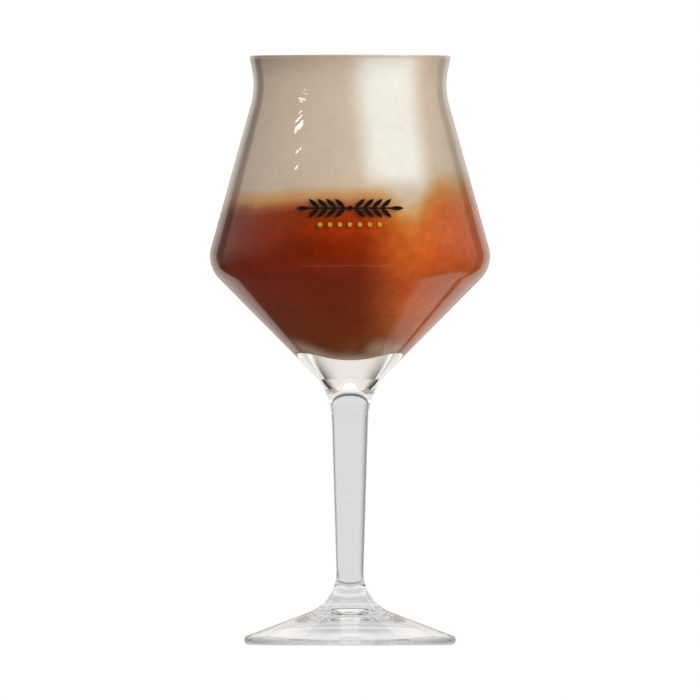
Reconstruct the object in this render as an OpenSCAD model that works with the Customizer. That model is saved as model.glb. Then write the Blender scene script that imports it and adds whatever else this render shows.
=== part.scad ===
// Stemmed chalice for beer: a bowl of two cones with a rounded edge between them, drawn in to a neck
// and turned out again at the lip, on a slim stem and a wide sloping foot.
// The bowl holds beer under a head of foam. Millimetres, +Z up, origin under the middle of the foot.

/* [Bowl] */
// Height of the bowl, from its seam on the stem to the rim
bowl_h = 111; // [95:1:130]
// Outside diameter at the narrowest part of the neck
neck_d = 66.1; // [58:0.1:76]
// Depth of that narrowest part under the rim
neck_depth = 10; // [7:0.5:14]
// Radius of the curve that turns the neck out into the lip
neck_curve_r = 25.7; // [18:0.1:32]
// Lean of the lip away from upright, in degrees
lip_lean = 12; // [4:1:18]
// Outside diameter at the widest part of the bowl
belly_d = 96; // [86:0.5:108]
// Height of that widest part above the seam on the stem
belly_h = 42.3; // [36:0.1:50]
// Radius of the rounded edge at the widest part
belly_edge_r = 11.2; // [7:0.1:15]
// Thickness of the wall at the neck and the lip
neck_wall = 1.6; // [1.2:0.1:2.4]
// Thickness of the wall at the widest part
belly_wall = 2.2; // [1.6:0.1:4]
// Thickness of the glass under the middle of the hollow
base_t = 12; // [8:0.1:16]
// Radius of the round bottom of the hollow
bottom_r = 14; // [9:0.5:20]

/* [Stem] */
// Height of the stem between its two seams
stem_h = 71; // [50:1:95]
// Diameter where the stem meets the bowl
stem_head_d = 21.4; // [18:0.1:26]
// Diameter just under the flared head
stem_top_d = 12.4; // [10:0.1:15]
// Radius of the flared head
head_curve_r = 27.6; // [20:0.1:36]
// Diameter at the thinnest part, just above the foot
stem_thin_d = 9.3; // [7:0.1:11]
// Height of that thinnest part above the seam on the foot
stem_thin_h = 4.9; // [3:0.1:8]

/* [Foot] */
// Height of the foot up to its seam with the stem
foot_h = 20; // [17:0.5:24]
// Largest diameter of the foot
foot_d = 72.5; // [62:0.5:86]
// Thickness of the foot's rounded edge
foot_edge_t = 3.2; // [2:0.1:5]
// Radius of the curve that runs from the stem into the foot
foot_curve_r = 14.8; // [10:0.1:18]
// Thickness of the glass between the middle of the hollow under the foot and the seam with the stem
foot_core_t = 10.4; // [9:0.1:16]
// Width of the flat ring that the foot stands on
rest_w = 1.6; // [1:0.1:4]

/* [Drink] */
// Depth of the beer at the middle of the bowl
beer_depth = 49.5; // [30:0.1:66]
// Distance of the foam's outer edge under the rim
foam_drop = 1; // [0.9:0.1:6]
// Depth of the dip in the middle of the foam
foam_dip = 6; // [5.5:0.1:12]
// Space left between the drink and the glass
drink_gap = 0.3; // [0.2:0.05:0.6]

/* [Ornament] */
// Height of the barley sprigs' stalk above the seam on the stem
sprig_h = 58.5; // [54:0.5:70]
// Number of pairs of grains on each sprig
grain_pairs = 4; // [3:1:6]
// Distance from one pair of grains to the next
grain_pitch = 3; // [2.4:0.1:3.6]
// Length of a grain
grain_l = 4.8; // [4:0.1:6]
// Width of a grain
grain_w = 1.5; // [1.2:0.1:2.2]
// Lean of the grains away from the stalk, in degrees
grain_lean = 42; // [30:1:50]
// Distance of the first pair of grains from the middle
first_pair_x = 1.6; // [1.2:0.1:2.2]
// Width of the stalk
stalk_w = 0.6; // [0.4:0.1:1]
// Diameter of the knot that ties the two sprigs together
knot_d = 1.8; // [1.4:0.1:2.6]
// Number of dots in the row under the sprigs
dot_count = 7; // [3:2:9]
// Diameter of a dot
dot_d = 1.5; // [1:0.1:2]
// Distance from one dot to the next
dot_pitch = 3.4; // [2.6:0.1:4]
// Distance of the row of dots under the stalk
dot_drop = 5.6; // [4.4:0.1:7]
// Thickness of the fired enamel
enamel_t = 0.15; // [0.1:0.05:0.3]
// Space left between the enamel and the glass
enamel_gap = 0.05; // [0.02:0.01:0.1]

/* [Hidden] */
$fn = 180;
// Straight runs that stand for each arc of an outline
arc_runs = 20;

// Heights of the seams, the rim and the two turning points of the bowl
seam_z = foot_h + stem_h;
rim_z = seam_z + bowl_h;
neck_z = rim_z - neck_depth;
belly_z = seam_z + belly_h;
hollow_z = seam_z + base_t;
beer_z = hollow_z + beer_depth;

// Centres of the bowl's arcs, in the half plane of radius and height
neck_c = [neck_d / 2 + neck_curve_r, neck_z];
belly_c = [belly_d / 2 - belly_edge_r, belly_z];
bottom_c = [0, hollow_z + bottom_r];
base_p = [stem_head_d / 2, seam_z];

// Directions that the bowl's straight runs face, from the tangents between its arcs
shoulder_a = facing(neck_c - belly_c, neck_curve_r + belly_edge_r);
cone_a = facing(belly_c - base_p, -belly_edge_r);
shoulder_in_a = facing(neck_c - belly_c, neck_curve_r + neck_wall + belly_edge_r - belly_wall);
hollow_a = facing(belly_c - bottom_c, bottom_r - belly_edge_r + belly_wall);
lip_a = -lip_lean;

// Middle of the rim's half-round edge, which the lip runs up to
lip_r = neck_wall / 2;
lip_z = rim_z - lip_r;
lip_x = (neck_c * aim(lip_a) - neck_curve_r - lip_r - lip_z * sin(lip_a)) / cos(lip_a);
lip_c = [lip_x, lip_z];

// Stem: the flared head passes through the seam, and a straight taper joins it to the foot's curve
head_c = [stem_top_d / 2 + head_curve_r, seam_z - head_rise()];
foot_c = [stem_thin_d / 2 + foot_curve_r, foot_h + stem_thin_h];
head_a = -asin(head_rise() / head_curve_r);
stem_a = facing(head_c - foot_c, head_curve_r - foot_curve_r);
foot_seam_a = asin(stem_thin_h / foot_curve_r);

// Foot: a straight slope from its curve to the rounded edge, and a domed hollow underneath
edge_r = foot_edge_t / 2;
edge_c = [foot_d / 2 - edge_r, edge_r];
slope_a = facing(foot_c - edge_c, foot_curve_r + edge_r);
dome_edge_x = foot_d / 2 - edge_r - rest_w;
dome_z = foot_h - foot_core_t;
dome_r = cap_radius(dome_edge_x, dome_z);

// Foam: its top is a round dish whose edge lies on the wall
foam_edge_z = rim_z - foam_drop;
foam_low_z = foam_edge_z - foam_dip;
foam_edge_x = lip_c[0] - lip_r - drink_gap;
dish_r = cap_radius(foam_edge_x, foam_dip);

// Round side of a grain, which is the space shared by two equal circles
grain_curve_r = cap_radius(grain_l / 2, grain_w / 2);

// Unit vector at an angle
function aim(a) = [cos(a), sin(a)];

// Direction faced by a straight run whose ends differ by v from centre to centre and by reach along it
function facing(v, reach) = atan2(v[1], v[0]) - acos(reach / norm(v));

// Points along an arc from angle a to angle b
function arc(c, r, a, b) = [for (i = [0 : arc_runs]) c + r * aim(a + (b - a) * i / arc_runs)];

// Radius of the circle through the middle and both ends of a cap of half width x and height h
function cap_radius(x, h) = (x * x + h * h) / (2 * h);

// Height over which the stem's head flares from under the head to the seam
function head_rise() = sqrt(pow(head_curve_r, 2) - pow(head_curve_r - (stem_head_d - stem_top_d) / 2, 2));

// Inside outline of the bowl from the axis up to the lip, drawn in by a gap
function hollow_outline(gap) = concat(
    arc(bottom_c, bottom_r - gap, -90, hollow_a),
    arc(belly_c, belly_edge_r - belly_wall - gap, hollow_a, shoulder_in_a),
    arc(neck_c, -neck_curve_r - neck_wall - gap, shoulder_in_a, lip_a)
);

// Outside outline of the bowl from the seam up to the lip
function bowl_outline() = concat(
    [base_p],
    arc(belly_c, belly_edge_r, cone_a, shoulder_a),
    arc(neck_c, -neck_curve_r, shoulder_a, lip_a)
);

// Reversed copy of a list of points
function reversed(points) = [for (i = [len(points) - 1 : -1 : 0]) points[i]];

// Space that the drink can fill, closed along the axis
module drink_space() {
    lip_top = [lip_c[0] - lip_r - drink_gap, rim_z];
    polygon(concat(hollow_outline(drink_gap), [lip_top, [0, rim_z]]));
}

module foot() {
    color([0.88, 0.91, 0.92, 0.45])
        rotate_extrude()
            polygon(concat(
                [[0, foot_h]],
                [[0, dome_z]],
                reversed(arc([0, dome_z - dome_r], dome_r, acos(dome_edge_x / dome_r), 90)),
                arc(edge_c, edge_r, -90, slope_a),
                arc(foot_c, -foot_curve_r, slope_a, foot_seam_a)
            ));
}

module stem() {
    color([0.85, 0.88, 0.9, 0.45])
        rotate_extrude()
            polygon(concat(
                [[0, seam_z], [0, foot_h]],
                arc(foot_c, -foot_curve_r, foot_seam_a, stem_a),
                arc(head_c, -head_curve_r, stem_a, head_a)
            ));
}

module bowl() {
    color([0.9, 0.93, 0.94, 0.35])
        rotate_extrude()
            polygon(concat(
                [[0, seam_z]],
                bowl_outline(),
                arc(lip_c, lip_r, lip_a, lip_a + 180),
                reversed(hollow_outline(0))
            ));
}

module beer() {
    color([0.55, 0.19, 0.07])
        rotate_extrude()
            intersection() {
                drink_space();
                square([belly_d, beer_z]);
            }
}

module foam() {
    color([0.88, 0.8, 0.68])
        rotate_extrude()
            difference() {
                intersection() {
                    drink_space();
                    translate([0, beer_z])
                        square([belly_d, foam_edge_z - beer_z]);
                }
                translate([0, foam_low_z + dish_r])
                    circle(dish_r);
            }
}

// Thin skin over the front of the bowl's upper cone, cut to the outline given
module enamel() {
    low_p = belly_c + belly_edge_r * aim(shoulder_a);
    high_p = neck_c - neck_curve_r * aim(shoulder_a);
    inner = enamel_gap * aim(shoulder_a);
    outer = (enamel_gap + enamel_t) * aim(shoulder_a);
    intersection() {
        rotate_extrude()
            polygon([low_p + inner, low_p + outer, high_p + outer, high_p + inner]);
        translate([0, 0, seam_z + sprig_h])
            rotate([90, 0, 0])
                linear_extrude(height = belly_d)
                    children();
    }
}

// One grain of barley, pointed at both ends, lying along X from the origin
module grain() {
    side_y = grain_curve_r - grain_w / 2;
    intersection() {
        translate([grain_l / 2, side_y])
            circle(grain_curve_r);
        translate([grain_l / 2, -side_y])
            circle(grain_curve_r);
    }
}

// One sprig along +X: a stalk, pairs of leaning grains and a grain at the tip
module sprig() {
    tip_x = first_pair_x + grain_pairs * grain_pitch;
    translate([0, -stalk_w / 2])
        square([tip_x + grain_w, stalk_w]);
    for (i = [0 : grain_pairs - 1])
        for (side = [-1, 1])
            translate([first_pair_x + i * grain_pitch, 0])
                rotate(side * grain_lean)
                    grain();
    translate([tip_x, 0])
        grain();
}

module barley_print() {
    color([0.06, 0.05, 0.05])
        enamel() {
            circle(d = knot_d);
            for (turn = [0, 180])
                rotate(turn)
                    sprig();
        }
}

module dot_print() {
    color([0.86, 0.66, 0.16])
        enamel()
            for (i = [0 : dot_count - 1])
                translate([(i - (dot_count - 1) / 2) * dot_pitch, -dot_drop])
                    circle(d = dot_d);
}

foot();
stem();
bowl();
beer();
foam();
barley_print();
dot_print();
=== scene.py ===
import math

import bpy
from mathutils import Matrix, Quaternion, Vector, noise


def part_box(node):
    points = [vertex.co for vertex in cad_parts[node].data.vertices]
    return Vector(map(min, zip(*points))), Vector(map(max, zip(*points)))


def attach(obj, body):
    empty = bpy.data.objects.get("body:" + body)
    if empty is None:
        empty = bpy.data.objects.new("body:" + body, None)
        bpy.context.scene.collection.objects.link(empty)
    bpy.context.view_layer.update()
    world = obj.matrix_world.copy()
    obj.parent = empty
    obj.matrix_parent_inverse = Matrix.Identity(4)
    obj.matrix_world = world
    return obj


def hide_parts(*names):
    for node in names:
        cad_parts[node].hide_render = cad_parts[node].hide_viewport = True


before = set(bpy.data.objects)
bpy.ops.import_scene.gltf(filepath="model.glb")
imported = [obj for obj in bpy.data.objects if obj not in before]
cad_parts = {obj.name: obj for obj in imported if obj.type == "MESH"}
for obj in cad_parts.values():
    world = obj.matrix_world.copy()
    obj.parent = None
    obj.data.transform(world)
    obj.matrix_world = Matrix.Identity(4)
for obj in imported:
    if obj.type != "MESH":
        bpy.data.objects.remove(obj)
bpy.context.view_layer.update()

# Foot: pressed from clear glass, with a rounded edge, a flat ring to stand on and a domed
# hollow underneath. It is the first of three pieces of glass that are fused into one.
TURN_STEPS = 192
LONGEST_RUN = 0.0015
CREASE = math.radians(25)
PRESSED_WAVE = 0.012
PRESSED_WAVE_HEIGHT = 0.00002
SMEARS_PER_M = 45.0
SMEAR_RANGE = (0.56, 0.72)
SMEAR_ROUGHNESS = 0.01
GLASS_COLOUR = (0.985, 0.99, 0.99, 1)
GLASS_IOR = 1.5
SEAM_COLOUR = (0.9, 0.9, 0.9, 1)
SEAM_LEVEL = 0.999
SEAM_NEAR = 1e-5
SEAM_SLOT = 1


def outline(cad_node):
    """(radius, height) points of a turned node, in order along the seam of its mesh."""
    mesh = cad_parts[cad_node].data
    near = 1e-7
    seam = {
        v.index: (max(0.0, round(v.co.x, 7)), round(v.co.z, 7))
        for v in mesh.vertices
        if abs(v.co.y) < near and v.co.x > -near
    }
    links = {}
    for edge in mesh.edges:
        a, b = (seam.get(i) for i in edge.vertices)
        if a and b and a != b:
            links.setdefault(a, set()).add(b)
            links.setdefault(b, set()).add(a)
    path = [min((p for p in links if len(links[p]) == 1), key=lambda p: p[1])]
    while True:
        onward = [p for p in links[path[-1]] if p not in path]
        if not onward:
            return path
        path.append(onward[0])


def evened(points, longest=LONGEST_RUN):
    """The same outline with its long straight runs split, so that smooth shading stays true on them."""
    out = [points[0]]
    for a, b in zip(points, points[1:]):
        parts = max(1, math.ceil(math.dist(a, b) / longest))
        for i in range(1, parts + 1):
            t = i / parts
            out.append((a[0] + (b[0] - a[0]) * t, a[1] + (b[1] - a[1]) * t))
    return out


def turned(name, points, steps=TURN_STEPS, lift=None):
    """A closed mesh turned about the axis from an outline with both ends on the axis.

    lift(spot, ring) says how far a point of a ring is raised.
    """
    verts, rings, faces = [], [], []
    for ring, (r, z) in enumerate(points):
        count = steps if r > 0 else 1
        rings.append(range(len(verts), len(verts) + count))
        for i in range(count):
            a = 2 * math.pi * i / steps
            spot = Vector((r * math.cos(a), r * math.sin(a), z))
            if lift:
                spot.z += lift(spot, ring)
            verts.append(spot)
    for low, high in zip(rings, rings[1:]):
        for i in range(steps):
            j = (i + 1) % steps
            corners = [low[i % len(low)], low[j % len(low)], high[j % len(high)], high[i % len(high)]]
            faces.append(list(dict.fromkeys(corners)))
    mesh = bpy.data.meshes.new(name)
    mesh.from_pydata(verts, [], faces)
    mesh.shade_smooth()
    mesh.set_sharp_from_angle(angle=CREASE)
    piece = bpy.data.objects.new(name, mesh)
    bpy.context.scene.collection.objects.link(piece)
    return piece


def fit_piece(piece, material, cad_node):
    """Gives a piece its material and lets it stand for a node of the frame."""
    piece.data.materials.append(material)
    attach(piece, "root")
    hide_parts(cad_node)


def new_tree(tree):
    """Empties a node tree and returns its node maker and its linker."""
    tree.nodes.clear()
    return tree.nodes.new, tree.links.new


def new_material(name):
    """An empty node material, with its node maker and linker."""
    material = bpy.data.materials.new(name)
    material.use_nodes = True
    return material, *new_tree(material.node_tree)


def show(node, link, shader):
    """Makes a shader the surface of its material."""
    link(shader.outputs[0], node("ShaderNodeOutputMaterial").inputs["Surface"])


def new_group(name, inputs, outputs):
    """An empty shader node group with named sockets, its ends, its node maker and its linker."""
    group = bpy.data.node_groups.new(name, "ShaderNodeTree")
    for socket, kind in inputs.items():
        group.interface.new_socket(socket, in_out="INPUT", socket_type="NodeSocket" + kind)
    for socket, kind in outputs.items():
        group.interface.new_socket(socket, in_out="OUTPUT", socket_type="NodeSocket" + kind)
    node, link = new_tree(group)
    return group, node("NodeGroupInput"), node("NodeGroupOutput"), node, link


def place_group(node, group, **values):
    """Places a node group in a tree with its own values. An underscore stands for a space."""
    placed = node("ShaderNodeGroup")
    placed.node_tree = group
    for socket, value in values.items():
        placed.inputs[socket.replace("_", " ")].default_value = value
    return placed


def feed(link, socket, value):
    """Sets a socket to a number or a colour, or links it to another socket."""
    if isinstance(value, (int, float, tuple)):
        socket.default_value = value
    else:
        link(value, socket)


def calc(node, link, operation, *values):
    """The result of a math node that is fed by numbers or sockets."""
    made = node("ShaderNodeMath")
    made.operation = operation
    for socket, value in zip(made.inputs, values):
        feed(link, socket, value)
    return made.outputs[0]


def between(node, link, value, low, high, to_low=0.0, to_high=1.0):
    """A smooth step of a value from one range to another. The range may also run downwards."""
    step = node("ShaderNodeMapRange")
    step.interpolation_type = "SMOOTHSTEP"
    for socket, number in zip(("Value", "From Min", "From Max", "To Min", "To Max"),
                              (value, low, high, to_low, to_high)):
        feed(link, step.inputs[socket], number)
    return step.outputs["Result"]


def place(node):
    """Where a point lies in the shared frame, in metres."""
    return node("ShaderNodeTexCoord").outputs["Object"]


def noise_at(node, link, where, scale, detail):
    """Even noise from 0 to 1 at a point, with a scale in waves per metre."""
    made = node("ShaderNodeTexNoise")
    made.inputs["Detail"].default_value = detail
    link(where, made.inputs["Vector"])
    feed(link, made.inputs["Scale"], scale)
    return made.outputs["Fac"]


def bump_from(node, link, height, depth):
    """The normal of a surface whose height from 0 to 1 stands for a depth in metres."""
    bump = node("ShaderNodeBump")
    link(height, bump.inputs["Height"])
    feed(link, bump.inputs["Distance"], depth)
    return bump.outputs["Normal"]


# Skin of the glass: slow waves left by the mould or the pipe, and thin smears from polishing
glass_skin, ins, outs, node, link = new_group(
    "glass_skin", {"Wave Size": "Float", "Wave Height": "Float", "Smear": "Float"},
    {"Roughness": "Float", "Normal": "Vector"})
waves_per_m = calc(node, link, "DIVIDE", 1.0, ins.outputs["Wave Size"])
waves = noise_at(node, link, place(node), waves_per_m, detail=1.0)
link(bump_from(node, link, waves, ins.outputs["Wave Height"]), outs.inputs["Normal"])
smears = between(node, link, noise_at(node, link, place(node), SMEARS_PER_M, detail=5.0), *SMEAR_RANGE)
link(calc(node, link, "MULTIPLY", smears, ins.outputs["Smear"]), outs.inputs["Roughness"])


def glass_material(name, wave_size, wave_height):
    """Clear glass with waves of a size and height."""
    material, node, link = new_material(name)
    glass = node("ShaderNodeBsdfPrincipled")
    glass.inputs["Base Color"].default_value = GLASS_COLOUR
    glass.inputs["Transmission Weight"].default_value = 1.0
    glass.inputs["IOR"].default_value = GLASS_IOR
    skin = place_group(
        node, glass_skin, Wave_Size=wave_size, Wave_Height=wave_height, Smear=SMEAR_ROUGHNESS)
    link(skin.outputs["Roughness"], glass.inputs["Roughness"])
    link(skin.outputs["Normal"], glass.inputs["Normal"])
    show(node, link, glass)
    return material


pressed_glass = glass_material("pressed_glass", PRESSED_WAVE, PRESSED_WAVE_HEIGHT)

# Where two pieces of glass are fused, light crosses from one to the other
fused_seam, node, link = new_material("fused_seam")
open_glass = node("ShaderNodeBsdfTransparent")
open_glass.inputs["Color"].default_value = SEAM_COLOUR
show(node, link, open_glass)


def glass_piece(name, material, cad_node, *seams):
    """A turned piece of glass, fused to its neighbours at the given heights. Lamps shine through it."""
    piece = turned(name, evened(outline(cad_node)))
    fit_piece(piece, material, cad_node)
    piece.data.materials.append(fused_seam)
    piece.visible_shadow = False
    piece.visible_diffuse = False
    for face in piece.data.polygons:
        level = abs(face.normal.z) > SEAM_LEVEL
        if level and any(abs(face.center.z - seam) < SEAM_NEAR for seam in seams):
            face.material_index = SEAM_SLOT
    return piece


foot_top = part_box("foot")[1][2]
glass_piece("foot_glass", pressed_glass, "foot", foot_top)

# Stem: a drawn rod of the same glass that thins towards the foot and flares at its head.
# Both of its ends are fused to their neighbours.
stem_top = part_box("stem")[1][2]
glass_piece("stem_glass", pressed_glass, "stem", foot_top, stem_top)

# Bowl: a blown shell with a thick base, two straight cones and a rounded belly between them.
# The neck turns out again into a lip with a fire-polished, half-round rim.
BLOWN_WAVE = 0.018
BLOWN_WAVE_HEIGHT = 0.00003
WALL_SLOT = 2
WALL_CLEAR = 0.97
SHADE_LINE_SLANT = (0.21, 0.235, 0.255, 0.28)
SHADE_LINE_FADE = 0.006
SHADE_LINE_LEFT = 0.6
SHADE_LINE_RIGHT = 0.82
SHADE_LINE_TURN = 0.02
LIP_SHADE_Z = (0.192, 0.204)
LIP_SHADE_LEFT = 0.32
LIP_SHADE_RIGHT = 0.05
LIP_SHADE_TURN = 0.03

blown_glass = glass_material("blown_glass", BLOWN_WAVE, BLOWN_WAVE_HEIGHT)
bowl = glass_piece("bowl_glass", blown_glass, "bowl", stem_top)


def parts_of(node, link, where):
    """The parts of a place or a direction to the right, back and up."""
    split = node("ShaderNodeSeparateXYZ")
    link(where, split.inputs[0])
    return split.outputs


def band(node, link, value, start, full, ease, end, peak=1.0):
    """A peak that a value climbs to between start and full, and falls from between ease and end."""
    climb = between(node, link, value, start, full, 0.0, peak)
    return calc(node, link, "MULTIPLY", climb, between(node, link, value, end, ease))


# The drink wets the hollow, so light crosses there too. Above the belly a painted shade makes the wall
# dimmer in a thin line where it is seen at a slant, and a painted shade darkens it under the lip, both more
# so at the left.
wetted_wall_painted_shade, node, link = new_material("wetted_wall_painted_shade")
right, back, up = parts_of(node, link, place(node))
belly_z = max(outline("bowl"))[1]
slant = node("ShaderNodeLayerWeight").outputs["Facing"]
# Painted shade: a thin dim line on the wall where it is seen at a slant
shade_line = calc(
    node, link, "MULTIPLY", band(node, link, slant, *SHADE_LINE_SLANT),
    between(node, link, up, belly_z - SHADE_LINE_FADE, belly_z))
shade_line_clear = between(node, link, right, -SHADE_LINE_TURN, SHADE_LINE_TURN, SHADE_LINE_LEFT, SHADE_LINE_RIGHT)
lip_shade = calc(
    node, link, "MULTIPLY", between(node, link, up, *LIP_SHADE_Z),
    between(node, link, right, -LIP_SHADE_TURN, LIP_SHADE_TURN, LIP_SHADE_LEFT, LIP_SHADE_RIGHT))
clear = calc(
    node, link, "MULTIPLY", between(node, link, shade_line, 0.0, 1.0, WALL_CLEAR, shade_line_clear),
    calc(node, link, "SUBTRACT", 1.0, lip_shade))
clear_film = node("ShaderNodeBsdfTransparent")
link(clear, clear_film.inputs["Color"])
show(node, link, clear_film)

bowl.data.materials.append(wetted_wall_painted_shade)
beer_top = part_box("beer")[1][2]
foam_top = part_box("foam")[1][2]
hollow_middle = Vector((0, 0, beer_top))
for face in bowl.data.polygons:
    if face.normal.dot(face.center - hollow_middle) < 0 and face.center.z < foam_top:
        face.material_index = WALL_SLOT

# Beer: cloudy red amber ale that fills the bowl up to the foam. It is darkest low down, paler at the
# bottom towards the right and the back, and brighter under the foam.
BEER_FADE_BELOW = 0.050
FOAM_FADE_ABOVE = 0.010
FOAM_LINE_WAVER = 0.004
FOAM_LINE_WAVERS_PER_M = 30.0
FOAM_LINE_TILT = 0.06
FOAM_LINE_RISE = 0.003
FOAM_LINE_RISE_X = (0.02, 0.032)
TONGUE_DROP = 0.006
TONGUE_X = (0.009, 0.021, 0.021, 0.031)
PAINTED_GLOW_X = (0.002, 0.021)
PALE_LOW_COLOUR = (0.62, 0.44, 0.305, 1)
PALE_LOW_SLANT = 0.04
PALE_LOW_RIGHT_X = (0.0, 0.006)
PALE_LOW_RIGHT_LEVEL = (0.125, 0.06)
PALE_LOW_RIGHT_SHARE = 0.75
PALE_LOW_BACK_Y = (-0.007, 0.003)
PALE_LOW_BACK_LEVEL = (0.18, 0.07)
PALE_LOW_FAR_Y = (-0.002, 0.012)
PALE_LOW_FAR_SHARE = 0.6
GRAINS_PER_M = 380.0
BLOTCHES_PER_M = 60.0
LEFT_SHADE_DEPTHS = (0.024, 0.012, 0.005, 0.0)
RIGHT_SHADE_X = 0.024
RIGHT_SHADE = 15.0
BEER_MOTTLE = 0.5
BEER_SHADE = 12.0
BEER_ROUGHNESS = 0.3
DRINK_COLOURS = (
    (0.0, (0.29, 0.16, 0.095, 1)),
    (0.025, (0.20, 0.048, 0.006, 1)),
    (0.15, (0.225, 0.037, 0.0035, 1)),
    (0.43, (0.235, 0.021, 0.0025, 1)),
    (0.575, (0.29, 0.025, 0.0025, 1)),
    (0.65, (0.43, 0.037, 0.003, 1)),
    (0.765, (0.47, 0.057, 0.006, 1)),
    (0.797, (0.58, 0.13, 0.04, 1)),
    (0.834, (0.72, 0.33, 0.12, 1)),
    (0.867, (0.78, 0.44, 0.19, 1)),
    (0.912, (0.79, 0.61, 0.43, 1)),
    (1.0, (0.80, 0.635, 0.485, 1)),
)
# Brighter colours for the right of the drink, painted light
PAINTED_GLOW_COLOURS = (
    (0.0, (0.55, 0.33, 0.19, 1)),
    (0.06, (0.62, 0.22, 0.085, 1)),
    (0.15, (0.70, 0.17, 0.04, 1)),
    (0.43, (0.78, 0.125, 0.017, 1)),
    (0.69, (0.73, 0.15, 0.02, 1)),
    (0.785, (0.72, 0.25, 0.05, 1)),
    (0.83, (0.72, 0.37, 0.12, 1)),
    (0.92, (0.77, 0.60, 0.41, 1)),
    (1.0, (0.80, 0.635, 0.485, 1)),
)


def ramp_of(node, link, value, colours):
    """The colour at a value from 0 to 1, between stops that each give a place and a colour."""
    ramp = node("ShaderNodeValToRGB")
    link(value, ramp.inputs["Fac"])
    stops = ramp.color_ramp.elements
    while len(stops) < len(colours):
        stops.new(0.5)
    for stop, (at, colour) in zip(stops, colours):
        stop.position = at
        stop.color = colour
    return ramp.outputs["Color"]


def mixed(node, link, share, first, second):
    """A colour that goes from a first to a second one as a share goes from 0 to 1."""
    mix = node("ShaderNodeMix")
    mix.data_type = "RGBA"
    link(share, mix.inputs["Factor"])
    for side, colour in (("A_Color", first), ("B_Color", second)):
        feed(link, next(s for s in mix.inputs if s.identifier == side), colour)
    return next(s for s in mix.outputs if s.identifier == "Result_Color")


def toned(node, link, colour, tone):
    """A colour made darker by a tone below 1, or paler by one above."""
    made = node("ShaderNodeVectorMath")
    made.operation = "SCALE"
    link(colour, made.inputs[0])
    link(tone, made.inputs["Scale"])
    return made.outputs[0]


# Colour of the drink by height: it runs from the beer into the foam along an uneven, slanting line.
# At the right a tongue of foam hangs into the beer, over a brighter orange patch of painted light. The
# drink is paler low at the right and the back. Shade sets a painted shade that darkens the drink to the
# left, and a painted shade darkens the far right too.
drink, ins, outs, node, link = new_group("drink", {"Mottle": "Float", "Shade": "Float"}, {"Color": "Color"})
where = place(node)
right, back, up = parts_of(node, link, where)
waver = calc(
    node, link, "SUBTRACT", noise_at(node, link, where, FOAM_LINE_WAVERS_PER_M, detail=3.0), 0.5)
height = calc(node, link, "MULTIPLY_ADD", waver, FOAM_LINE_WAVER * 2, up)
height = calc(node, link, "MULTIPLY_ADD", right, -FOAM_LINE_TILT, height)
height = calc(node, link, "MULTIPLY_ADD", band(node, link, right, *TONGUE_X), TONGUE_DROP, height)
rise = between(node, link, right, *FOAM_LINE_RISE_X, 0.0, FOAM_LINE_RISE)
span = node("ShaderNodeMapRange")
link(calc(node, link, "SUBTRACT", height, rise), span.inputs["Value"])
span.inputs["From Min"].default_value = beer_top - BEER_FADE_BELOW
span.inputs["From Max"].default_value = beer_top + FOAM_FADE_ABOVE
level = span.outputs["Result"]
# Painted light: the right of the drink takes the brighter colours
with_painted_glow = mixed(
    node, link, between(node, link, right, *PAINTED_GLOW_X),
    ramp_of(node, link, level, DRINK_COLOURS), ramp_of(node, link, level, PAINTED_GLOW_COLOURS))

# Paler colour low at the right and the back
slope = calc(node, link, "MULTIPLY_ADD", level, -PALE_LOW_SLANT, right)
low_right = calc(
    node, link, "MULTIPLY", between(node, link, slope, *PALE_LOW_RIGHT_X, 0.0, PALE_LOW_RIGHT_SHARE),
    between(node, link, level, *PALE_LOW_RIGHT_LEVEL))
low_back = calc(
    node, link, "MULTIPLY", between(node, link, back, *PALE_LOW_BACK_Y),
    between(node, link, level, *PALE_LOW_BACK_LEVEL))
low_back = calc(
    node, link, "MULTIPLY", low_back, between(node, link, back, *PALE_LOW_FAR_Y, 1.0, PALE_LOW_FAR_SHARE))
with_pale_low = mixed(node, link, calc(node, link, "MAXIMUM", low_right, low_back), with_painted_glow, PALE_LOW_COLOUR)

grain = calc(node, link, "SUBTRACT", noise_at(node, link, where, GRAINS_PER_M, detail=4.0), 0.5)
blotch = calc(node, link, "SUBTRACT", noise_at(node, link, where, BLOTCHES_PER_M, detail=2.0), 0.5)
tone = calc(node, link, "MULTIPLY", calc(node, link, "ADD", grain, blotch), ins.outputs["Mottle"])
# Painted shade: darker to the left, near the top of the beer
painted_left_shade = calc(
    node, link, "MULTIPLY", calc(node, link, "MINIMUM", right, 0.0),
    band(node, link, up, *(beer_top - depth for depth in LEFT_SHADE_DEPTHS)))
tone = calc(node, link, "MULTIPLY_ADD", painted_left_shade, ins.outputs["Shade"], tone)
# Painted shade: darker at the far right
painted_right_shade = calc(node, link, "MINIMUM", calc(node, link, "SUBTRACT", RIGHT_SHADE_X, right), 0.0)
tone = calc(node, link, "MULTIPLY_ADD", painted_right_shade, RIGHT_SHADE, tone)
link(toned(node, link, with_pale_low, calc(node, link, "ADD", tone, 1.0)), outs.inputs["Color"])

amber_beer, node, link = new_material("amber_beer")
beer_surface = node("ShaderNodeBsdfPrincipled")
beer_colour = place_group(node, drink, Mottle=BEER_MOTTLE, Shade=BEER_SHADE).outputs["Color"]
link(beer_colour, beer_surface.inputs["Base Color"])
beer_surface.inputs["Roughness"].default_value = BEER_ROUGHNESS
beer_surface.inputs["Specular IOR Level"].default_value = 0.0
show(node, link, beer_surface)

beer = turned("beer_fill", evened(outline("beer")))
fit_piece(beer, amber_beer, "beer")
beer.visible_glossy = False

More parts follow.
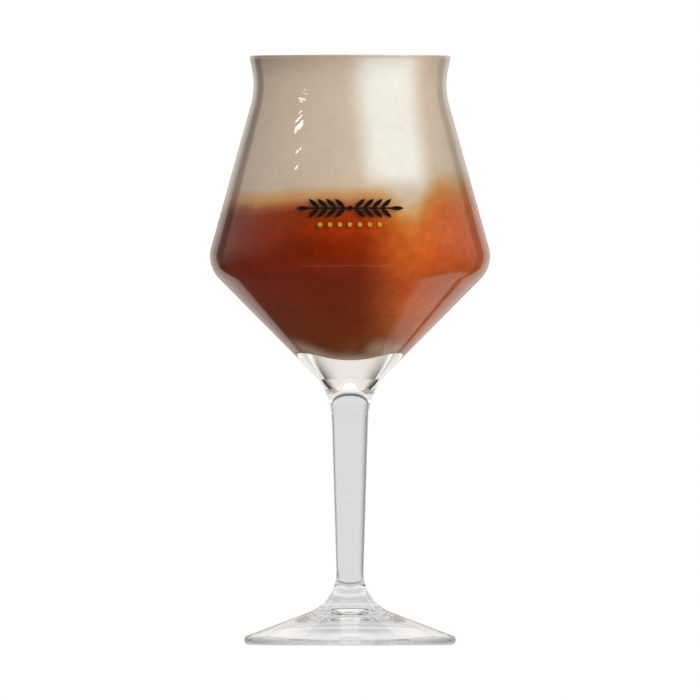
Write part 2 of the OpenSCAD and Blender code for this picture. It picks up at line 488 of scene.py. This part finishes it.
# Foam: the dense, fine head on the beer. Its top has settled into a dish and is covered with
# bubbles, small ones all over and larger ones along the glass.
FOAM_STEPS = 480
DISH_RUN = 0.0005
EDGE_POINTS = 5
EDGE_RUN = DISH_RUN / 5
SMALL_BUBBLE = 0.0017
SMALL_BUBBLE_RISE = 0.0004
LARGE_BUBBLE = 0.0036
LARGE_BUBBLE_RISE = 0.0008
LARGE_BUBBLE_BAND = 0.009
BUBBLE_ROUND_SHARE = 0.62
DISH_SWELL = 0.014
DISH_SWELL_RISE = 0.0008
EDGE_FADE = 0.0012
BEAD = 0.0026
BEAD_RISE = 0.0007
FOAM_PORE = 0.0006
FOAM_PORE_DEPTH = 0.00006
FOAM_MOTTLE = 0.14
FOAM_SHADE = 1.0
FOAM_ROUGHNESS = 0.6
FOAM_SPECULAR = 0.15

foam_outline = outline("foam")
edge_at = foam_outline.index(max(foam_outline, key=lambda p: p[1]))
foam_edge_r = foam_outline[edge_at][0]
foam_wall = evened(foam_outline[:edge_at + 1])
dish_points = evened(foam_outline[edge_at:], DISH_RUN)
foam_dish = evened(dish_points[:EDGE_POINTS], EDGE_RUN) + dish_points[EDGE_POINTS:]


def bubble(spot, pitch, rise):
    """Height at a spot among round bubbles that lie about a pitch apart."""
    away = noise.voronoi(Vector((spot.x, spot.y, 0)) / pitch)[0][0]
    return rise * math.sqrt(max(0.0, 1 - (away / BUBBLE_ROUND_SHARE) ** 2))


def bubbled(spot, ring):
    """How far the bubbles, the bead and slow swells raise a point of the dish. The wall stays as it is."""
    inward = foam_edge_r - spot.xy.length
    if ring < len(foam_wall) or inward <= 0:
        return 0.0
    swell = DISH_SWELL_RISE * noise.noise(Vector((spot.x, spot.y, 0)) / DISH_SWELL)
    near_glass = max(0.0, 1 - inward / LARGE_BUBBLE_BAND)
    large = bubble(spot, LARGE_BUBBLE, LARGE_BUBBLE_RISE * near_glass)
    bead = BEAD_RISE * math.sqrt(max(0.0, 1 - (2 * inward / BEAD - 1) ** 2))
    small = bubble(spot, SMALL_BUBBLE, SMALL_BUBBLE_RISE)
    return max(bead, min(1.0, inward / EDGE_FADE) * (swell + max(large, small)))


beer_foam, node, link = new_material("beer_foam")
foam_surface = node("ShaderNodeBsdfPrincipled")
foam_colour = place_group(node, drink, Mottle=FOAM_MOTTLE, Shade=FOAM_SHADE).outputs["Color"]
link(foam_colour, foam_surface.inputs["Base Color"])
foam_surface.inputs["Roughness"].default_value = FOAM_ROUGHNESS
foam_surface.inputs["Specular IOR Level"].default_value = FOAM_SPECULAR
pores = node("ShaderNodeTexVoronoi")
link(place(node), pores.inputs["Vector"])
pores.inputs["Scale"].default_value = 1 / FOAM_PORE
link(bump_from(node, link, pores.outputs["Distance"], FOAM_PORE_DEPTH), foam_surface.inputs["Normal"])
show(node, link, foam_surface)

foam = turned("foam_head", foam_wall + foam_dish[1:], FOAM_STEPS, bubbled)
fit_piece(foam, beer_foam, "foam")
foam.visible_glossy = False

# Ornament: two sprigs of barley in black enamel over a row of yellow dots, printed through a
# screen onto the front of the bowl and fired.
SCREEN_GRAIN = 0.0004
SCREEN_GRAIN_DEPTH = 0.00001
COAT_RANGE = (0.3, 0.7)
COAT_TONE = (0.88, 1.12)
COAT_ROUGHNESS = (0.45, 0.28)
ENAMEL_SPECULAR = 0.2
ENAMELS = (
    ("barley_print", "black_enamel", (0.008, 0.006, 0.006, 1)),
    ("dot_print", "yellow_enamel", (0.62, 0.36, 0.03, 1)),
)

# Fired enamel: a thin coat that keeps the grain of the screen, darker and duller where it is thinnest
fired_enamel, ins, outs, node, link = new_group(
    "fired_enamel", {"Color": "Color"}, {"Color": "Color", "Roughness": "Float", "Normal": "Vector"})
coat = noise_at(node, link, place(node), 1 / SCREEN_GRAIN, detail=3.0)
coat_tone = between(node, link, coat, *COAT_RANGE, *COAT_TONE)
link(toned(node, link, ins.outputs["Color"], coat_tone), outs.inputs["Color"])
link(between(node, link, coat, *COAT_RANGE, *COAT_ROUGHNESS), outs.inputs["Roughness"])
link(bump_from(node, link, coat, SCREEN_GRAIN_DEPTH), outs.inputs["Normal"])

for print_node, enamel_name, colour in ENAMELS:
    enamel, node, link = new_material(enamel_name)
    gloss = node("ShaderNodeBsdfPrincipled")
    gloss.inputs["Specular IOR Level"].default_value = ENAMEL_SPECULAR
    coat = place_group(node, fired_enamel, Color=colour)
    link(coat.outputs["Color"], gloss.inputs["Base Color"])
    link(coat.outputs["Roughness"], gloss.inputs["Roughness"])
    link(coat.outputs["Normal"], gloss.inputs["Normal"])
    show(node, link, gloss)
    print_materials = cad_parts[print_node].data.materials
    print_materials.clear()
    print_materials.append(enamel)

# Studio: a white floor in white surroundings, with darker panels at the sides so that the edges
# of the glass read as lines, and soft lamps at the front. Names that end in RIGHT, LEFT, ASIDE, BACK
# and UP hold parts of a direction, from -1 to 1.
WHITE = (1, 1, 1, 1)
WARM_WHITE = (1.0, 0.92, 0.85, 1)
LEFT_FILL = 0.42
RIGHT_FILL = 0.58
THROUGH_GLASS = 0.74
THROUGH_HIGH = 0.97
HIGH_UP = (0.5, 0.6)
SIDE_DIM = 0.2
SIDE_DIM_RIGHT = (0.68, 0.95)
SIDE_DIM_LEFT = (-0.45, -0.95)
SIDE_PALE_ASIDE = (0.965, 0.985)
DARK_BAND = 0.6
DARK_BAND_UP = (0.43, 0.46, 0.50, 0.54)
FRONT_MIRROR = 0.03
FLOOR_MIRROR = 0.1
FLOOR_UP = (-0.1, -0.6)
TOP_MIRROR = 0.9
TOP_UP = (0.54, 0.66)
WALL_MIRROR = 0.85
WALL_BACK = (0.78, 0.85)
WALL_WIDER = 0.07
WALL_WIDER_UP = (-0.2, -0.45)
OUTLINE_SHARE = 0.55
OUTLINE_BACK = (0.965, 0.985)
GAP_MIRROR = 0.22
GAP_BACK = (0.60, 0.68, 0.78, 0.85)
GAP_UP = (-0.3, -0.1)
PANEL_MIRROR = 0.55
PANEL_BACK = (-0.9, 0.5, 0.60, 0.68)
PANEL_UP = (-0.5, 0.3)
CARD_MIRROR = 0.9
CARD_AT = (0.49, 0.52, -0.70)
CARD_NEAR = (0.93, 0.985)
CARD_BACK = (0.70, 0.65)
STRIP_MIRROR = 0.5
STRIP_UP = (-0.53, -0.58, -0.59, -0.64)
STRIP_BACK = (-0.45, -0.70)

scene = bpy.context.scene
scene.view_settings.view_transform = "Standard"
scene.cycles.caustics_refractive = False
scene.cycles.caustics_reflective = False
scene.cycles.max_bounces = 24
scene.cycles.glossy_bounces = 24
scene.cycles.transmission_bounces = 24
scene.cycles.transparent_max_bounces = 32
scene.cycles.use_light_tree = False

world = bpy.data.worlds.new("studio")
world.use_nodes = True
scene.world = world
node, link = new_tree(world.node_tree)
looking = node("ShaderNodeTexCoord").outputs["Generated"]
right, back, up = parts_of(node, link, looking)


def ray_is(node, kind):
    """1 for rays of a kind, such as Camera or Glossy, and 0 for the rest."""
    return node("ShaderNodeLightPath").outputs[f"Is {kind} Ray"]


def where_ray(node, link, kind, value, otherwise):
    """One value for rays of a kind, and another for the rest."""
    mix = node("ShaderNodeMix")
    link(ray_is(node, kind), mix.inputs["Factor"])
    feed(link, mix.inputs["A"], otherwise)
    feed(link, mix.inputs["B"], value)
    return mix.outputs["Result"]


# Seen through the glass: even light behind, darker to the sides, light again straight aside and higher
# up, with a dark band under the high light
aside = calc(node, link, "ABSOLUTE", right)
through = calc(
    node, link, "MINIMUM", between(node, link, right, *SIDE_DIM_RIGHT, THROUGH_GLASS, SIDE_DIM),
    between(node, link, right, *SIDE_DIM_LEFT, THROUGH_GLASS, SIDE_DIM))
side_pale = between(node, link, aside, *SIDE_PALE_ASIDE, 0.0, THROUGH_GLASS)
through = calc(node, link, "MAXIMUM", through, side_pale)
through = calc(node, link, "MAXIMUM", through, between(node, link, up, *HIGH_UP, 0.0, THROUGH_HIGH))
through = calc(node, link, "SUBTRACT", through, band(node, link, up, *DARK_BAND_UP, DARK_BAND))

# Mirrored by the glass: a dim floor and a bright top, a wall behind that is dimmer at its middle, panels
# beside it over a grey gap, a pale card low at the right, and a pale strip on the floor in front
wider = between(node, link, up, *WALL_WIDER_UP, 0.0, WALL_WIDER)
wall = between(node, link, calc(node, link, "ADD", back, wider), *WALL_BACK, 0.0, WALL_MIRROR)
to_card = node("ShaderNodeVectorMath")
to_card.operation = "DOT_PRODUCT"
link(looking, to_card.inputs[0])
to_card.inputs[1].default_value = CARD_AT
card = between(node, link, to_card.outputs["Value"], *CARD_NEAR, 0.0, CARD_MIRROR)
mirrored = calc(node, link, "ADD", FRONT_MIRROR, between(node, link, up, *FLOOR_UP, 0.0, FLOOR_MIRROR))
mirrored = calc(node, link, "ADD", mirrored, between(node, link, up, *TOP_UP, 0.0, TOP_MIRROR))
for glow, share in (
        (wall, between(node, link, back, *OUTLINE_BACK, 1.0, OUTLINE_SHARE)),
        (band(node, link, back, *GAP_BACK, GAP_MIRROR), between(node, link, up, *GAP_UP)),
        (band(node, link, back, *PANEL_BACK, PANEL_MIRROR), between(node, link, up, *PANEL_UP)),
        (card, between(node, link, back, *CARD_BACK)),
        (band(node, link, up, *STRIP_UP, STRIP_MIRROR), between(node, link, back, *STRIP_BACK))):
    mirrored = calc(node, link, "MULTIPLY_ADD", glow, share, mirrored)

fill = between(node, link, right, -1.0, 1.0, LEFT_FILL, RIGHT_FILL)
light = where_ray(node, link, "Glossy", mirrored, fill)
light = where_ray(node, link, "Transmission", through, light)
light = where_ray(node, link, "Camera", 1.0, light)
warm = where_ray(node, link, "Transmission", 0.0, ray_is(node, "Glossy"))
sky = node("ShaderNodeBackground")
link(mixed(node, link, warm, WHITE, WARM_WHITE), sky.inputs["Color"])
link(light, sky.inputs["Strength"])
link(sky.outputs[0], node("ShaderNodeOutputWorld").inputs["Surface"])

FLOOR_R = 8.0
FLOOR_DROP = 0.0001
FLOOR_TONES = (
    (0.010, 0.70),
    (0.022, 0.95),
    (0.034, 0.95),
    (0.038, 0.60),
    (0.052, 0.60),
    (0.058, 0.30),
    (0.064, 0.30),
    (0.075, 0.74),
)
FLOOR_DIM = 0.75
FLOOR_DIM_ASIDE = (0.5, 0.95, 0.965, 0.985)
FLOOR_DIM_FROM_R = (0.07, 0.09)
FLAG_Z = 0.05
FLAG_INNER_R = 0.012
FLAG_R = 0.04
FLAG_FADE_R = (0.017, 0.026)
FLAG_MIRROR = 0.6
DISC_STEPS = 64


def flat_ring(inner, outer, z):
    """Points and faces of a flat ring about the axis, or of a disc if it has no inner radius."""
    turns = [2 * math.pi * i / DISC_STEPS for i in range(DISC_STEPS)]
    rims = [[(r * math.cos(a), r * math.sin(a), z) for a in turns] for r in (outer, inner)]
    if not inner:
        return rims[0], [list(range(DISC_STEPS))]
    onward = [(i, (i + 1) % DISC_STEPS) for i in range(DISC_STEPS)]
    return rims[0] + rims[1], [[i, j, j + DISC_STEPS, i + DISC_STEPS] for i, j in onward]


def stage_light(name, verts, faces):
    """A glowing piece of the studio that lamps and soft light pass by, with the strength of its glow."""
    mesh = bpy.data.meshes.new(name)
    mesh.from_pydata(verts, [], faces)
    piece = bpy.data.objects.new(name, mesh)
    scene.collection.objects.link(piece)
    piece.visible_diffuse = False
    piece.visible_shadow = False
    material, node, link = new_material(name + "_paint")
    material.cycles.emission_sampling = "NONE"
    mesh.materials.append(material)
    glow = node("ShaderNodeEmission")
    glow.inputs["Color"].default_value = WHITE
    show(node, link, glow)
    return piece, node, link, glow.inputs["Strength"]


def from_axis(node, link):
    """The distance of a point of the studio from the axis."""
    flat = node("ShaderNodeVectorMath")
    flat.operation = "MULTIPLY"
    link(place(node), flat.inputs[0])
    flat.inputs[1].default_value = (1, 1, 0)
    distance = node("ShaderNodeVectorMath")
    distance.operation = "LENGTH"
    link(flat.outputs[0], distance.inputs[0])
    return distance.outputs["Value"]


# Seen through the glass, the floor is grey under the stem, a painted shadow, pale under the rest of the
# foot, greyer around it, dark in a ring further out and dark far out at the sides
floor, node, link, strength = stage_light("floor", *flat_ring(0, FLOOR_R, -FLOOR_DROP))
floor.visible_glossy = False
away = from_axis(node, link)
tones_r = FLOOR_TONES[-1][0]
tones = ramp_of(node, link, calc(node, link, "DIVIDE", away, tones_r),
                [(r / tones_r, (tone, tone, tone, 1)) for r, tone in FLOOR_TONES])
right, back, up = parts_of(node, link, place(node))
aside = calc(node, link, "DIVIDE", calc(node, link, "ABSOLUTE", right), away)
side_dim = calc(
    node, link, "MULTIPLY", band(node, link, aside, *FLOOR_DIM_ASIDE, FLOOR_DIM),
    between(node, link, away, *FLOOR_DIM_FROM_R))
tone = calc(node, link, "SUBTRACT", tones, calc(node, link, "MULTIPLY", tones, side_dim))
link(where_ray(node, link, "Camera", 1.0, tone), strength)

# A card under the bowl stands for the foot in the bowl's mirror image, pale at the stem
flag, node, link, strength = stage_light("flag", *flat_ring(FLAG_INNER_R, FLAG_R, FLAG_Z))
flag.visible_camera = False
flag.visible_transmission = False
link(between(node, link, from_axis(node, link), *FLAG_FADE_R, FLAG_MIRROR, FLOOR_MIRROR), strength)


def panel_lamp(name, width, height, azimuth, distance, z, aim_z, watts, colour=(1, 1, 1)):
    """A lamp at an azimuth to the right of the camera, aimed at the axis and not mirrored in the glass."""
    light = bpy.data.lights.new(name, "AREA")
    light.shape = "RECTANGLE"
    light.size = width
    light.size_y = height
    light.energy = watts
    light.color = colour
    lamp = bpy.data.objects.new(name, light)
    scene.collection.objects.link(lamp)
    turn = math.radians(azimuth)
    lamp.location = (distance * math.sin(turn), -distance * math.cos(turn), z)
    lamp.rotation_mode = "QUATERNION"
    lamp.rotation_quaternion = (Vector((0, 0, aim_z)) - lamp.location).to_track_quat("-Z", "Y")
    lamp.visible_glossy = False
    lamp.visible_transmission = False
    return light


panel_lamp("key", width=0.4, height=0.6, azimuth=18, distance=1.3, z=0.5, aim_z=0.15, watts=5.9)

# A narrow beam leaves a cool, pale patch on the foam at the right
window = panel_lamp(
    "window", width=0.021, height=0.044, azimuth=24.5, distance=0.3, z=0.180, aim_z=0.180, watts=0.0027,
    colour=(0.37, 0.64, 0.90))
window.spread = math.radians(2.5)

# Small bright cards that the glass mirrors as a row of specks: across, height, width, thickness and slant
SPECKS = (
    (-0.0170, 0.1830, 0.006, 0.0007, 20),
    (-0.0174, 0.1809, 0.012, 0.0009, 21),
    (-0.0174, 0.1779, 0.015, 0.0024, 21),
    (-0.0175, 0.1698, 0.009, 0.0010, 21),
    (-0.0183, 0.1640, 0.005, 0.0009, 16),
)
SPECK_DISTANCE = 0.08
SPECK_LIGHT = 14.0

bowl_outline = evened(outline("bowl"))
bowl_side = bowl_outline[:bowl_outline.index(max(bowl_outline, key=lambda p: p[1]))]
leans = [math.atan2(b[0] - a[0], b[1] - a[1]) for a, b in zip(bowl_side, bowl_side[1:])]
card_corners, cards = [], []
for across, height, width, thickness, slant in SPECKS:
    at = next(i for i, p in enumerate(bowl_side) if p[1] > height) - 1
    low, high = bowl_side[at:at + 2]
    t = (height - low[1]) / (high[1] - low[1])
    radius = low[0] + (high[0] - low[0]) * t
    lean = ((leans[at - 1] + leans[at]) * (1 - t) + (leans[at] + leans[at + 1]) * t) / 2
    turn = math.asin(across / radius)
    normal = Vector((math.sin(turn) * math.cos(lean), -math.cos(turn) * math.cos(lean), -math.sin(lean)))
    way = Vector((0, 1, 0)).reflect(normal)
    middle = Vector((across, -radius * math.cos(turn), height)) + way * SPECK_DISTANCE
    along = way.cross((0, 0, 1)).normalized()
    along.rotate(Quaternion(way, math.radians(slant)))
    along *= width / 2
    thick = along.cross(way).normalized() * thickness / 2
    cards.append(range(len(card_corners), len(card_corners) + 4))
    card_corners += [
        middle - along - thick, middle + along - thick, middle + along + thick, middle - along + thick]
specks, node, link, strength = stage_light("specks", card_corners, cards)
specks.visible_camera = False
specks.visible_transmission = False
strength.default_value = SPECK_LIGHT

# Camera: level and far away with a long lens, so that the rim and the foot are seen edge on.
# It frames a square picture, in which the glass stands on a line near the bottom.
FRAME_PX = 700
MM_PER_PX = 0.343
FOOT_LINE_PX = 644.6
CAMERA_DISTANCE = 10.0

cam = bpy.data.cameras.new("camera")
camera = bpy.data.objects.new("camera", cam)
scene.collection.objects.link(camera)
scene.camera = camera
eye_height = (FOOT_LINE_PX - FRAME_PX / 2) * MM_PER_PX / 1000
camera.location = (0, -CAMERA_DISTANCE, eye_height)
camera.rotation_euler = (math.pi / 2, 0, 0)
cam.lens = cam.sensor_width * CAMERA_DISTANCE / (FRAME_PX * MM_PER_PX / 1000)
cam.clip_start = 0.1
cam.clip_end = 20
